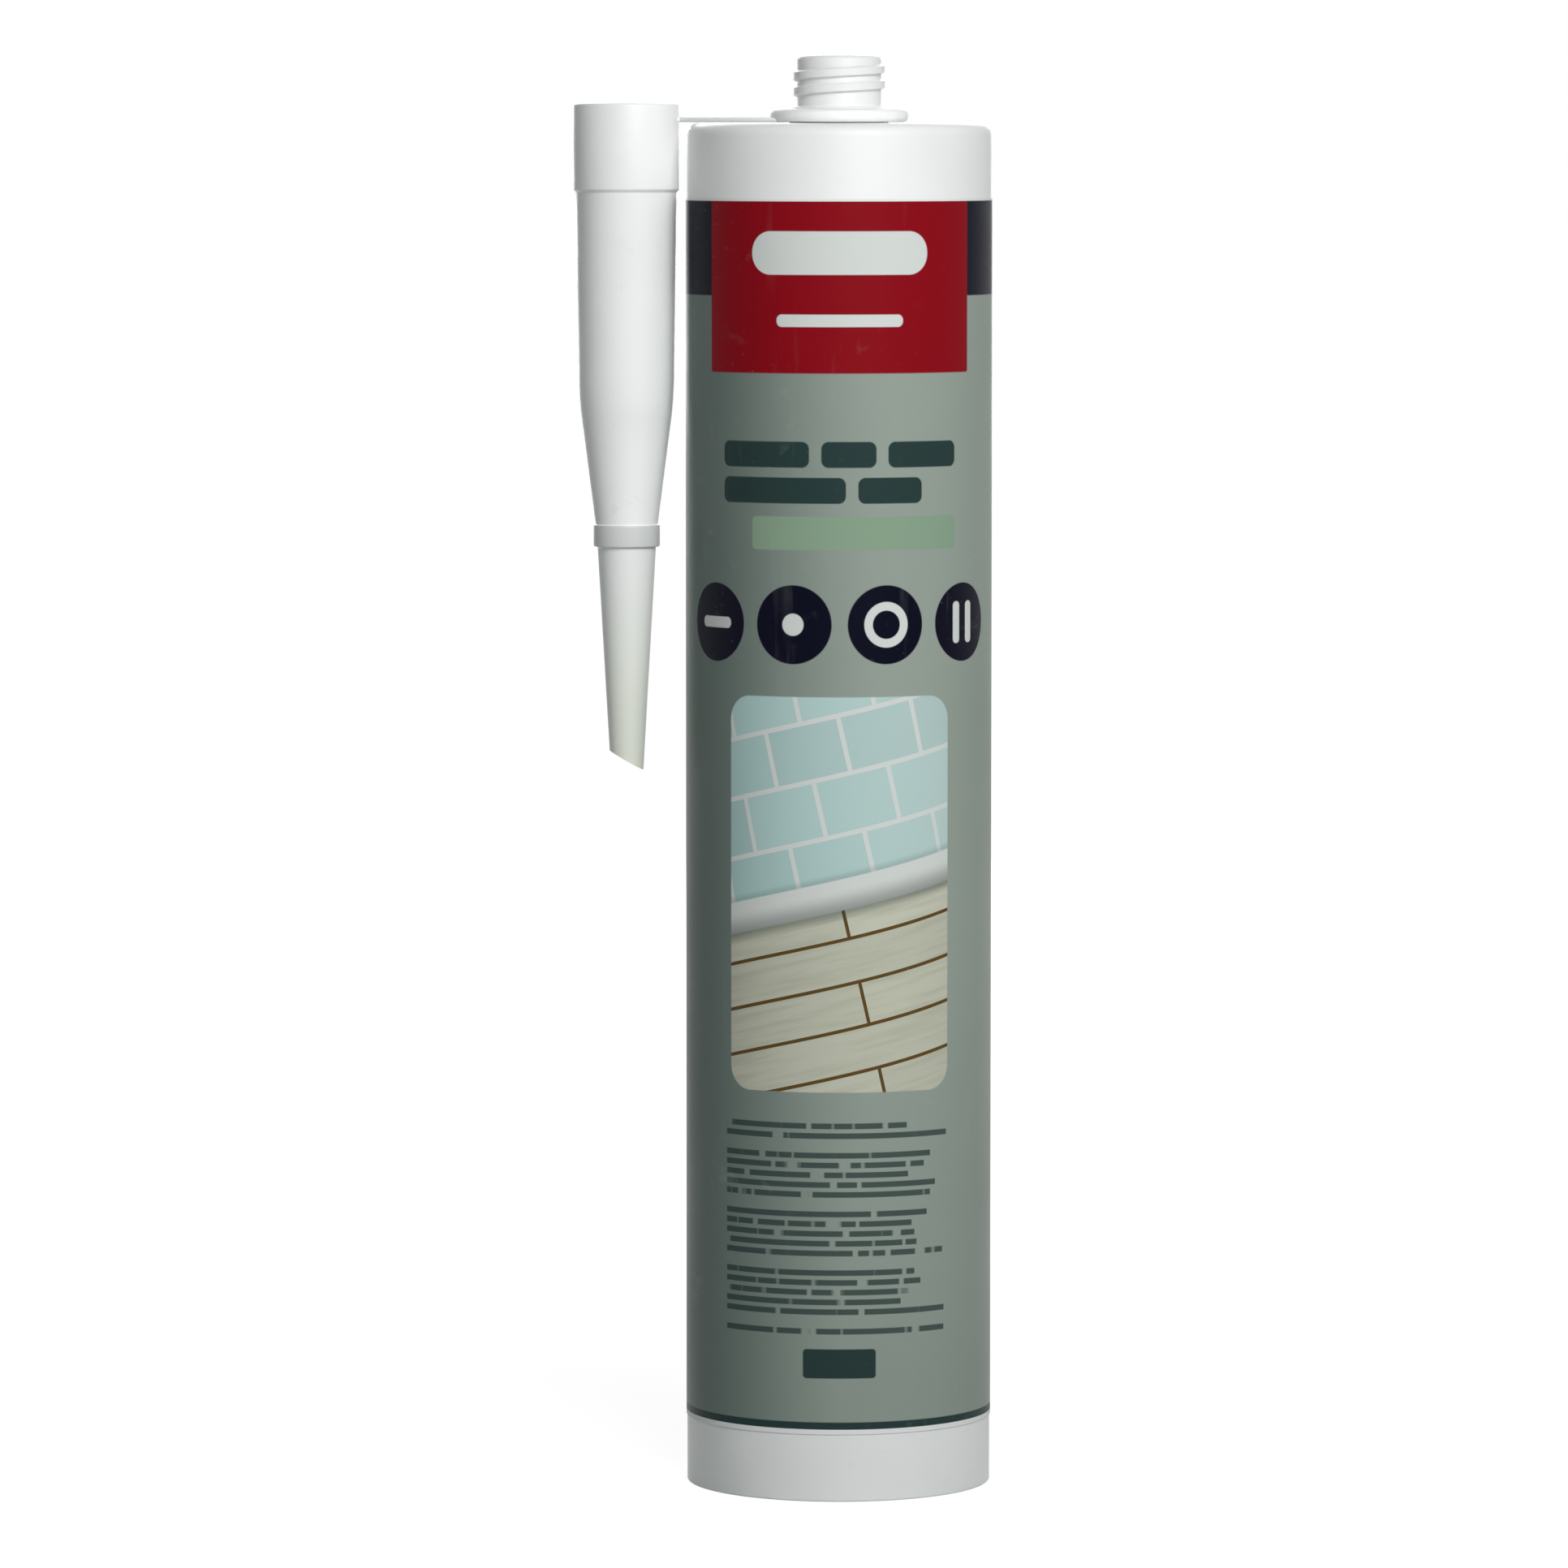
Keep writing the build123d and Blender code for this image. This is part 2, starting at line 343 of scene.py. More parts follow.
def add_piece(name, bm, material, body, node):
    """An object made from the bmesh, which stands for a node and moves with its body."""
    mesh = bpy.data.meshes.new(name)
    bm.to_mesh(mesh)
    bm.free()
    if not mesh.polygons:
        raise RuntimeError(f"{name} has no faces")
    mesh.shade_smooth()
    mesh.set_sharp_from_angle(angle=SMOOTH_ANGLE)
    mesh.materials.append(material)
    piece = bpy.data.objects.new(name, mesh)
    show(piece)
    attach(piece, body)
    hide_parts(node)
    return piece


# Node making


def add_node(tree, kind, inputs=None, **settings):
    """A node with its settings, its plain input values and its links."""
    node = tree.nodes.new(kind)
    for name, value in settings.items():
        setattr(node, name, value)
    for key, value in (inputs or {}).items():
        if isinstance(value, NodeSocket):
            tree.links.new(value, node.inputs[key])
        else:
            node.inputs[key].default_value = value
    return node


def maths(tree, operation, *values):
    """The output of a Math node."""
    return add_node(tree, "ShaderNodeMath", dict(enumerate(values)), operation=operation).outputs[0]


def folded(tree, operation, first, *others):
    """The output of a row of Math nodes that takes in one value after another."""
    for value in others:
        first = maths(tree, operation, first, value)
    return first


def vector_maths(tree, operation, *values):
    """The output of a Vector Math node: a value for a length, and otherwise a vector."""
    node = add_node(tree, "ShaderNodeVectorMath", dict(enumerate(values)), operation=operation)
    return node.outputs["Value" if operation in ("LENGTH", "DISTANCE") else "Vector"]


def parts_of(tree, vector):
    """The three parts of a vector."""
    return add_node(tree, "ShaderNodeSeparateXYZ", {0: vector}).outputs


def mapped(tree, place, **values):
    """A place that a Mapping node turns or stretches."""
    return add_node(tree, "ShaderNodeMapping", {"Vector": place, **values}).outputs[0]


def noise(tree, place, scale, detail):
    """The value of a noise texture."""
    inputs = {"Vector": place, "Scale": scale, "Detail": detail}
    return add_node(tree, "ShaderNodeTexNoise", inputs).outputs[0]


def mixed(tree, factor, first, second):
    """A colour between two others; a plain colour is given as three numbers."""
    ends = [c if isinstance(c, NodeSocket) else (*c, 1.0) for c in (first, second)]
    inputs = {0: factor, 6: ends[0], 7: ends[1]}
    return add_node(tree, "ShaderNodeMix", inputs, data_type="RGBA").outputs[2]


def ramped(tree, value, start, end, low=0.0, high=1.0, smooth=False):
    """A value carried from one range to another, held at both ends."""
    inputs = {"Value": value, "From Min": start, "From Max": end, "To Min": low, "To Max": high}
    kind = "SMOOTHSTEP" if smooth else "LINEAR"
    return add_node(tree, "ShaderNodeMapRange", inputs, interpolation_type=kind).outputs[0]


def new_group(name, inputs, outputs=("Mask",)):
    """An empty shader node group with its end sockets; each input is given with its default."""
    tree = bpy.data.node_groups.new(name, "ShaderNodeTree")
    for socket, default in inputs.items():
        kind = "NodeSocketFloat" if isinstance(default, float) else "NodeSocketVector"
        item = tree.interface.new_socket(socket, in_out="INPUT", socket_type=kind)
        item.default_value = default
    for socket in outputs:
        tree.interface.new_socket(socket, in_out="OUTPUT", socket_type="NodeSocketFloat")
    return tree, tree.nodes.new("NodeGroupInput").outputs, tree.nodes.new("NodeGroupOutput").inputs


def use_group(tree, name, inputs):
    """A node that places a group in a material or another group."""
    group = bpy.data.node_groups.get(name) or GROUP_MAKERS[name]()
    return add_node(tree, "ShaderNodeGroup", inputs, node_tree=group).outputs


def moulded_skin_group():
    """Fine grain and slow waves of a moulded plastic face."""
    inputs = {"Place": ORIGIN, "Grain Scale": 2200.0, "Wave Scale": 90.0, "Wave Share": 0.6}
    tree, given, result = new_group("Moulded Skin", inputs, ("Height", "Tone", "Dullness"))
    grain = noise(tree, given["Place"], given["Grain Scale"], 3.0)
    waves = noise(tree, given["Place"], given["Wave Scale"], 2.0)
    wave_height = maths(tree, "MULTIPLY", waves, given["Wave Share"])
    tree.links.new(maths(tree, "ADD", grain, wave_height), result["Height"])
    tree.links.new(ramped(tree, waves, 0.3, 0.7), result["Tone"])
    tree.links.new(ramped(tree, maths(tree, "ADD", grain, waves), 0.7, 1.3), result["Dullness"])
    return tree


# Turn and stretch of the upright rubs and of the cross scratches, and scales of the other marks
RUBS = (((0.0, 0.05, 0.3), (1.0, 1.0, 0.12)), ((0.4, 0.9, 0.0), (1.0, 0.05, 1.0)))
SPECK_SCALE = 1400.0
PATCH_SCALE = 38.0


def handling_marks_group():
    """Faint upright rubs, cross scratches and specks left by handling."""
    inputs = {"Place": ORIGIN, "Rub Scale": 260.0, "Cover": 0.5}
    tree, given, result = new_group("Handling Marks", inputs)
    masks = []
    for turn, stretch in RUBS:
        drawn = mapped(tree, given["Place"], Rotation=turn, Scale=stretch)
        masks.append(ramped(tree, noise(tree, drawn, given["Rub Scale"], 4.0), 0.64, 0.74))
    masks.append(ramped(tree, noise(tree, given["Place"], SPECK_SCALE, 1.0), 0.72, 0.78))
    where = ramped(tree, noise(tree, given["Place"], PATCH_SCALE, 2.0), 0.45, 0.68)
    marks = folded(tree, "MAXIMUM", *masks)
    tree.links.new(folded(tree, "MULTIPLY", marks, where, given["Cover"]), result["Mask"])
    return tree


def print_block_group():
    """Mask of a rectangle with rounded corners in the label's own plane."""
    inputs = {
        "Place": ORIGIN,
        "Centre": ORIGIN,
        "Half Size": (0.01, 0.01, 1.0),
        "Corner": 0.0005,
        "Softness": 0.00012,
    }
    tree, given, result = new_group("Print Block", inputs)
    apart = vector_maths(tree, "SUBTRACT", given["Place"], given["Centre"])
    reach = vector_maths(tree, "SUBTRACT", given["Half Size"], given["Corner"])
    away = vector_maths(tree, "ABSOLUTE", apart)
    past = vector_maths(tree, "SUBTRACT", away, reach)
    outside = vector_maths(tree, "MAXIMUM", past, ORIGIN)
    distance = vector_maths(tree, "LENGTH", outside)
    edge = maths(tree, "SUBTRACT", distance, given["Corner"])
    inner = maths(tree, "MULTIPLY", given["Softness"], -1.0)
    mask = ramped(tree, edge, inner, given["Softness"], 1.0, 0.0, smooth=True)
    tree.links.new(mask, result["Mask"])
    return tree


# Soft edge of a printed ring, and the step from row to row in the noise that makes words
RING_SOFTNESS = 0.0002
WORD_ROW_STEP = 7.31


def print_ring_group():
    """Mask of a ring in the label's own plane."""
    inputs = {"Place": ORIGIN, "Centre": ORIGIN, "Radius": 0.005, "Half Width": 0.0006}
    tree, given, result = new_group("Print Ring", inputs)
    distance = vector_maths(tree, "DISTANCE", given["Place"], given["Centre"])
    off_line = maths(tree, "ABSOLUTE", maths(tree, "SUBTRACT", distance, given["Radius"]))
    outer = maths(tree, "ADD", given["Half Width"], RING_SOFTNESS)
    mask = ramped(tree, off_line, given["Half Width"], outer, 1.0, 0.0, smooth=True)
    tree.links.new(mask, result["Mask"])
    return tree


def print_lines_group():
    """Mask of a block of fine lines broken into word lengths, with no letters in it."""
    inputs = {
        "Place": ORIGIN,
        "Centre": ORIGIN,
        "Half Size": (0.01, 0.01, 1.0),
        "Pitch": 0.0016,
        "Word Scale": 420.0,
        "Paragraph": 6.0,
    }
    tree, given, result = new_group("Print Lines", inputs)
    block_values = {name: given[name] for name in ("Place", "Centre", "Half Size")}
    block = use_group(tree, "Print Block", block_values)["Mask"]
    across, up, _ = parts_of(tree, given["Place"])
    rows = maths(tree, "DIVIDE", up, given["Pitch"])
    row = maths(tree, "FLOOR", rows)
    within = maths(tree, "ABSOLUTE", maths(tree, "SUBTRACT", maths(tree, "FRACT", rows), 0.5))
    line = ramped(tree, within, 0.24, 0.34, 1.0, 0.0, smooth=True)
    row_of_paragraph = maths(tree, "FLOORED_MODULO", row, given["Paragraph"])
    filled = maths(tree, "GREATER_THAN", row_of_paragraph, 0.5)
    middle = parts_of(tree, given["Centre"])[0]
    half_width = parts_of(tree, given["Half Size"])[0]
    random = add_node(tree, "ShaderNodeTexWhiteNoise", {"W": row}, noise_dimensions="1D")
    chance = random.outputs["Value"]
    reach = maths(tree, "MULTIPLY", half_width, ramped(tree, chance, 0.0, 1.0, 0.5, 1.0))
    kept = maths(tree, "LESS_THAN", maths(tree, "SUBTRACT", across, middle), reach)
    run = maths(tree, "MULTIPLY", across, given["Word Scale"])
    word_row = maths(tree, "MULTIPLY", row, WORD_ROW_STEP)
    word_place = add_node(tree, "ShaderNodeCombineXYZ", {0: run, 1: word_row}).outputs[0]
    word = ramped(tree, noise(tree, word_place, 1.0, 1.0), 0.34, 0.40)
    mask = folded(tree, "MULTIPLY", block, line, word, filled, kept)
    tree.links.new(mask, result["Mask"])
    return tree


GROUP_MAKERS = {
    "Moulded Skin": moulded_skin_group,
    "Handling Marks": handling_marks_group,
    "Print Block": print_block_group,
    "Print Ring": print_ring_group,
    "Print Lines": print_lines_group,
}


def new_material(name):
    """A material with its node tree, its Principled shader and its Object coordinates."""
    material = bpy.data.materials.new(name)
    material.use_nodes = True
    tree = material.node_tree
    shader = tree.nodes["Principled BSDF"]
    place = tree.nodes.new("ShaderNodeTexCoord").outputs["Object"]
    return material, tree, shader, place


def set_plain(shader, values):
    """Sets the shader's sockets that are the same all over the surface."""
    for socket, value in values.items():
        shader.inputs[socket].default_value = value


def bumped(tree, shader, height, distance, strength):
    """Puts a height on the shader's normal."""
    inputs = {"Height": height, "Distance": distance, "Strength": strength}
    bump = add_node(tree, "ShaderNodeBump", inputs)
    tree.links.new(bump.outputs[0], shader.inputs["Normal"])


def seen_by_eye(tree, other, seen):
    """The second shader for rays from the camera, reflected rays and rays through glass."""
    rays = tree.nodes.new("ShaderNodeLightPath").outputs
    kinds = (rays["Is Camera Ray"], rays["Is Glossy Ray"], rays["Is Transmission Ray"])
    by_eye = folded(tree, "MAXIMUM", *kinds)
    return add_node(tree, "ShaderNodeMixShader", {0: by_eye, 1: other, 2: seen}).outputs[0]


def shaded(shade, amount):
    """A colour made darker by a share."""
    return tuple(part * (1.0 - amount) for part in shade)


def height_mask(tree, place, start, end):
    """A mask that comes in between two heights."""
    return ramped(tree, parts_of(tree, place)[2], start, end, smooth=True)


def between(tree, value, low, high):
    """One where a value lies between two others."""
    above = maths(tree, "GREATER_THAN", value, low)
    return maths(tree, "MULTIPLY", above, maths(tree, "LESS_THAN", value, high))


def band_mask(tree, place, low, high):
    """A mask between two heights."""
    return between(tree, parts_of(tree, place)[2], low, high)


def reach_mask(tree, place, inner, outer):
    """A mask between two distances from the tube's axis."""
    level = vector_maths(tree, "MULTIPLY", place, (1.0, 1.0, 0.0))
    return between(tree, vector_maths(tree, "LENGTH", level), inner, outer)


# Depths of the grain in moulded plastic and in film
PLASTIC_GRAIN = 0.00002
FILM_GRAIN = 0.000015

# How much darker flow marks and rubs are in plastic, and how much a rub dulls a surface
FLOW_SHARE = 0.035
RUB_SHARE = 0.18
RUB_DULLNESS = 0.2


def worn_roughness(tree, shader, skin, rubs, low, high):
    """Roughness that follows the skin between two ends and is higher on the rubs."""
    dull = ramped(tree, skin["Dullness"], 0.0, 1.0, low, high)
    rubbed = maths(tree, "MULTIPLY", rubs, RUB_DULLNESS)
    tree.links.new(maths(tree, "ADD", dull, rubbed), shader.inputs["Roughness"])


def plastic_material(name, plastic, roughness, subsurface, tints=()):
    """Moulded polyethylene: soft sheen, faint flow marks and rubs.

    Each tint is a colour, the mask that says where it comes in and the mask's two ends.
    """
    material, tree, shader, place = new_material(name)
    skin = use_group(tree, "Moulded Skin", {"Place": place})
    rubs = use_group(tree, "Handling Marks", {"Place": place, "Cover": 0.3})["Mask"]
    body = mixed(tree, skin["Tone"], shaded(plastic, FLOW_SHARE), plastic)
    for tint, mask, start, end in tints:
        body = mixed(tree, mask(tree, place, start, end), body, tint)
    tree.links.new(mixed(tree, rubs, body, shaded(plastic, RUB_SHARE)), shader.inputs["Base Color"])
    worn_roughness(tree, shader, skin, rubs, roughness - 0.05, roughness + 0.07)
    bumped(tree, shader, skin["Height"], PLASTIC_GRAIN, 0.5)
    set_plain(
        shader,
        {
            "IOR": 1.51,
            "Specular IOR Level": 0.38,
            "Subsurface Weight": subsurface,
            "Subsurface Radius": (1.0, 0.92, 0.8),
            "Subsurface Scale": 0.0008,
        },
    )
    return material


# Print of the label: each field is a block with a colour, placed by arc and height in metres

PrintField = namedtuple("PrintField", "ink centre half corner")

DISC = (0.0064, 0.0064)
DISC_HEIGHT = 0.1431
DISC_PLACES = (-0.0231, -0.0077, 0.0077, 0.0231)
TITLE_HALF = 0.0021
TITLE_BARS = (
    ((-0.0130, 0.1706), 0.0080),
    ((0.0015, 0.1706), 0.0045),
    ((0.0145, 0.1706), 0.0065),
    ((-0.0100, 0.1648), 0.0110),
    ((0.0085, 0.1648), 0.0055),
)
PRINT_FIELDS = (
    PrintField("navy", (0.0, 0.20395), (0.0800, 0.00785), 0.0003),
    PrintField("red", (0.0, 0.19775), (0.0244, 0.01405), 0.0004),
    PrintField("white", (0.0, 0.2031), (0.0150, 0.0035), 0.0034),
    PrintField("white", (0.0, 0.1922), (0.0105, 0.0010), 0.0009),
    *(PrintField("ink", centre, (half, TITLE_HALF), 0.0012) for centre, half in TITLE_BARS),
    PrintField("green", (0.0030, 0.1579), (0.0180, 0.0027), 0.0008),
    *(PrintField("navy", (place, DISC_HEIGHT), DISC, DISC[0]) for place in DISC_PLACES),
    PrintField("white", (DISC_PLACES[0], DISC_HEIGHT), (0.0036, 0.0009), 0.0008),
    PrintField("white", (DISC_PLACES[1], DISC_HEIGHT), (0.0018, 0.0018), 0.0018),
    PrintField("white", (DISC_PLACES[3] - 0.0016, DISC_HEIGHT), (0.0008, 0.0034), 0.0007),
    PrintField("white", (DISC_PLACES[3] + 0.0016, DISC_HEIGHT), (0.0008, 0.0034), 0.0007),
    PrintField("ink", (0.0, 0.0227), (0.0060, 0.0024), 0.0006),
    PrintField("ink", (0.0, 0.0125), (0.0800, 0.0006), 0.0003),
)

# Heights of the unprinted strips at the film's edges
BARE_TOP = 0.0004
BARE_BOTTOM = 0.0008

# Arcs over which painted shade darkens the ground from the front and from the back towards the left
FRONT_PAINTED_SHADE = (0.010, -0.024)
BACK_PAINTED_SHADE = (-0.065, -0.035)

# Heights over which painted shade darkens the ground by a share towards its foot
FOOT_PAINTED_SHADE = (0.090, 0.020)
FOOT_PAINTED_SHADE_SHARE = 0.22

# How much the ground's mottle, the fine lines and a rub show, and the ends of the film's roughness
MOTTLE_SHARE = 0.06
LINES_SHARE = 0.85
FILM_RUBS = 0.12
FILM_ROUGHNESS = (0.36, 0.46)

# Ring on the third disc
RING_CENTRE = (DISC_PLACES[2], DISC_HEIGHT)
RING_RADIUS = 0.0030
RING_HALF_WIDTH = 0.0006

# Picture of a sealed joint: a tiled wall, a planked floor and the bead along the corner between them
PICTURE = PrintField("teal", (0.0, 0.09925), (0.0195, 0.03215), 0.0040)
PICTURE_TURN = radians(-13)
TILE = (0.0125, 0.0095)
GROUT = 0.0004
PLANK = (0.0520, 0.0072)
PLANK_GAP = 0.0003
BEAD_HALF = 0.0026
BEAD_SHADOW = 0.0045
GLARE_HALF = 0.02
GRAIN_STRETCH = (60.0, 900.0, 1.0)

# How much darker the darkest tile or plank is
LAID_SPREAD = 0.12

# Blocks of fine lines: below the picture, and on both sides of the seam at the back
LINE_BLOCKS = (
    ((0.0, 0.0448), (0.0205, 0.0176)),
    ((-0.0590, 0.1000), (0.0165, 0.0776)),
    ((0.0590, 0.1000), (0.0165, 0.0776)),
)


def print_mask(tree, group, sheet, centre, values):
    """Mask of one printed form."""
    return use_group(tree, group, {"Place": sheet, "Centre": (*centre, 0.0), **values})["Mask"]


def field_mask(tree, sheet, field):
    """Mask of one print field."""
    values = {"Half Size": (*field.half, 1.0), "Corner": field.corner}
    return print_mask(tree, "Print Block", sheet, field.centre, values)


def laid(tree, place, size, gap, face, joint):
    """Colour of a laid pattern of tiles or planks."""
    width, height = size
    inputs = {
        "Vector": place,
        "Color1": (*face, 1.0),
        "Color2": (*shaded(face, LAID_SPREAD), 1.0),
        "Mortar": (*joint, 1.0),
        "Scale": 1.0,
        "Mortar Size": gap,
        "Brick Width": width,
        "Row Height": height,
    }
    return add_node(tree, "ShaderNodeTexBrick", inputs).outputs["Color"]


def picture_colour(tree, sheet, settings):
    """The picture: wall above, floor below, and a white bead with its own light and shadow."""
    centred = vector_maths(tree, "SUBTRACT", sheet, (*PICTURE.centre, 0.0))
    turned = mapped(tree, centred, Rotation=(0.0, 0.0, PICTURE_TURN))
    across, up, _ = parts_of(tree, turned)

    wall = laid(tree, turned, TILE, GROUT, settings.teal, settings.white)
    glare = ramped(tree, across, -GLARE_HALF, GLARE_HALF, 0.0, 0.25)
    wall = mixed(tree, glare, wall, settings.white)
    floor = laid(tree, turned, PLANK, PLANK_GAP, settings.beige, settings.brown)
    grain = noise(tree, mapped(tree, turned, Scale=GRAIN_STRETCH), 1.0, 3.0)
    floor = mixed(tree, ramped(tree, grain, 0.45, 0.75, 0.0, 0.2), floor, settings.brown)

    under = ramped(tree, up, -BEAD_SHADOW, -BEAD_HALF, 0.0, 0.55, smooth=True)
    floor = mixed(tree, under, floor, settings.ink)
    above = ramped(tree, up, BEAD_HALF * 1.5, BEAD_HALF, 0.0, 0.25, smooth=True)
    wall = mixed(tree, above, wall, settings.ink)
    picture = mixed(tree, maths(tree, "GREATER_THAN", up, 0.0), floor, wall)

    lit = ramped(tree, up, -BEAD_HALF, BEAD_HALF * 0.4, smooth=True)
    bead = mixed(tree, lit, shaded(settings.white, 0.5), settings.white)
    off_line = maths(tree, "ABSOLUTE", up)
    return mixed(tree, ramped(tree, off_line, BEAD_HALF, BEAD_HALF * 0.92), picture, bead)


def label_material(settings):
    """Printed film: blocks of colour on a grey-green ground, with a soft gloss."""
    material, tree, shader, place = new_material("Printed film")
    x, y, height = parts_of(tree, place)
    angle = maths(tree, "ARCTAN2", x, maths(tree, "MULTIPLY", y, -1.0))
    arc = maths(tree, "MULTIPLY", angle, label_box[1].x)
    sheet = add_node(tree, "ShaderNodeCombineXYZ", {0: arc, 1: height}).outputs[0]

    scales = {"Grain Scale": 3200.0, "Wave Scale": 45.0}
    skin = use_group(tree, "Moulded Skin", {"Place": place, **scales})
    # Painted shade on the ground: darker towards the left of the front and towards the foot, under
    # all the print
    painted_shade_from_front = ramped(tree, arc, *FRONT_PAINTED_SHADE, smooth=True)
    painted_shade_from_back = ramped(tree, arc, *BACK_PAINTED_SHADE, smooth=True)
    low = ramped(tree, height, *FOOT_PAINTED_SHADE, 0.0, FOOT_PAINTED_SHADE_SHARE)
    shade = maths(tree, "MAXIMUM", maths(tree, "MULTIPLY", painted_shade_from_front, painted_shade_from_back), low)
    print_and_painted_shade_colour = mixed(tree, shade, settings.ground, settings.ground_painted_shade)
    mottle = ramped(tree, skin["Tone"], 0.0, 1.0, 0.0, MOTTLE_SHARE)
    print_and_painted_shade_colour = mixed(tree, mottle, print_and_painted_shade_colour, shaded(settings.ground, 0.5))

    # Layers of print from the lowest up, each a mask and a colour
    layers = []
    for centre, half in LINE_BLOCKS:
        lines = print_mask(tree, "Print Lines", sheet, centre, {"Half Size": (*half, 1.0)})
        layers.append((maths(tree, "MULTIPLY", lines, LINES_SHARE), settings.ink))
    layers.append((field_mask(tree, sheet, PICTURE), picture_colour(tree, sheet, settings)))
    for field in PRINT_FIELDS:
        layers.append((field_mask(tree, sheet, field), getattr(settings, field.ink)))
    ring_values = {"Radius": RING_RADIUS, "Half Width": RING_HALF_WIDTH}
    ring = print_mask(tree, "Print Ring", sheet, RING_CENTRE, ring_values)
    layers.append((ring, settings.white))
    below = maths(tree, "LESS_THAN", height, label_box[0].z + BARE_BOTTOM)
    above = maths(tree, "GREATER_THAN", height, label_box[1].z - BARE_TOP)
    layers.append((maths(tree, "MAXIMUM", below, above), settings.film))
    rubs = use_group(tree, "Handling Marks", {"Place": place, "Cover": FILM_RUBS})["Mask"]
    layers.append((rubs, shaded(settings.white, 0.3)))
    for mask, ink in layers:
        print_and_painted_shade_colour = mixed(tree, mask, print_and_painted_shade_colour, ink)
    tree.links.new(print_and_painted_shade_colour, shader.inputs["Base Color"])
    worn_roughness(tree, shader, skin, rubs, *FILM_ROUGHNESS)
    bumped(tree, shader, skin["Height"], FILM_GRAIN, 0.4)
    set_plain(shader, {"IOR": 1.5, "Specular IOR Level": 0.05})
    return material


# Operators, one for each piece


class CARTRIDGE_OT_add_tube(Operator):
    """Add the tube, its shoulder and its closed, threaded neck"""

    bl_idname = "cartridge.add_tube"
    bl_label = "Tube"

    def execute(self, context):
        size = context.scene.cartridge_tube
        tube_r = tube_box[1].x
        top = tube_box[1].z
        lead_in = mount_size("rear_bore", "r_mm")
        lead_in_top = mount_size("rear_bore", "length_mm")
        crest = mount_size("neck", "r_mm")
        root = crest - size.thread_depth
        shoulder = size.shoulder_height
        under = shoulder - size.shoulder_thickness
        base_top = shoulder + size.neck_base_height
        membrane = top - size.membrane
        gate_r = root / 4
        gate_depth = size.membrane / 4
        points = (
            (0.0, top - gate_depth, 0.0),
            (gate_r, top - gate_depth, gate_depth / 2),
            (gate_r + gate_depth, top, gate_depth / 2),
            (root, top, size.neck_edge),
            (root, base_top, size.rim_edge),
            (size.neck_base, base_top, size.rim_edge),
            (size.neck_base, shoulder, size.rim_edge),
            (tube_r, shoulder, size.shoulder_edge),
            (tube_r, 0.0, size.rim_edge),
            (lead_in, 0.0, size.rim_edge),
            (lead_in, lead_in_top, size.lead_in_ramp / 4),
            (size.bore, lead_in_top + size.lead_in_ramp, size.lead_in_ramp / 4),
            (size.bore, under, size.shoulder_edge / 2),
            (size.neck_bore, under, size.rim_edge),
            (size.neck_bore, membrane, size.rim_edge),
            (0.0, membrane, 0.0),
        )
        body = spun(points, ROUND_STEPS)
        pitch = size.thread_pitch
        half_base = pitch * NECK_RIDGE[0]
        first = base_top + half_base + size.rim_edge
        last = top - size.neck_edge - half_base
        ridge = thread(root - size.thread_depth / 4, crest, first, last, pitch, NECK_RIDGE)
        material = plastic_material(
            "White polyethylene", size.plastic, roughness=0.44, subsurface=0.12
        )
        whole = joined([body, ridge])
        add_piece("cartridge_shell", whole, material, "cartridge", "cartridge")
        return {"FINISHED"}


class CARTRIDGE_OT_add_label(Operator):
    """Add the printed film round the tube"""

    bl_idname = "cartridge.add_label"
    bl_label = "Label"

    def execute(self, context):
        size = context.scene.cartridge_label
        outer = label_box[1].x
        inner = outer - size.thickness
        bottom = label_box[0].z
        top = label_box[1].z
        half_gap = size.seam / 2 / outer
        bm = bmesh.new()
        points = ((inner, bottom, 0.0), (outer, bottom, 0.0), (outer, top, 0.0), (inner, top, 0.0))
        chain(bm, points, 0.0, closed=True)
        start = Matrix.Rotation(pi / 2 + half_gap, 3, "Z")
        bmesh.ops.rotate(bm, verts=bm.verts, cent=ORIGIN, matrix=start)
        sweep(bm, 0.0, tau - 2 * half_gap, ROUND_STEPS)
        bmesh.ops.holes_fill(bm, edges=open_edges(bm), sides=4)
        material = label_material(size)
        add_piece("label_film", settled(bm), material, "cartridge", "label")
        return {"FINISHED"}


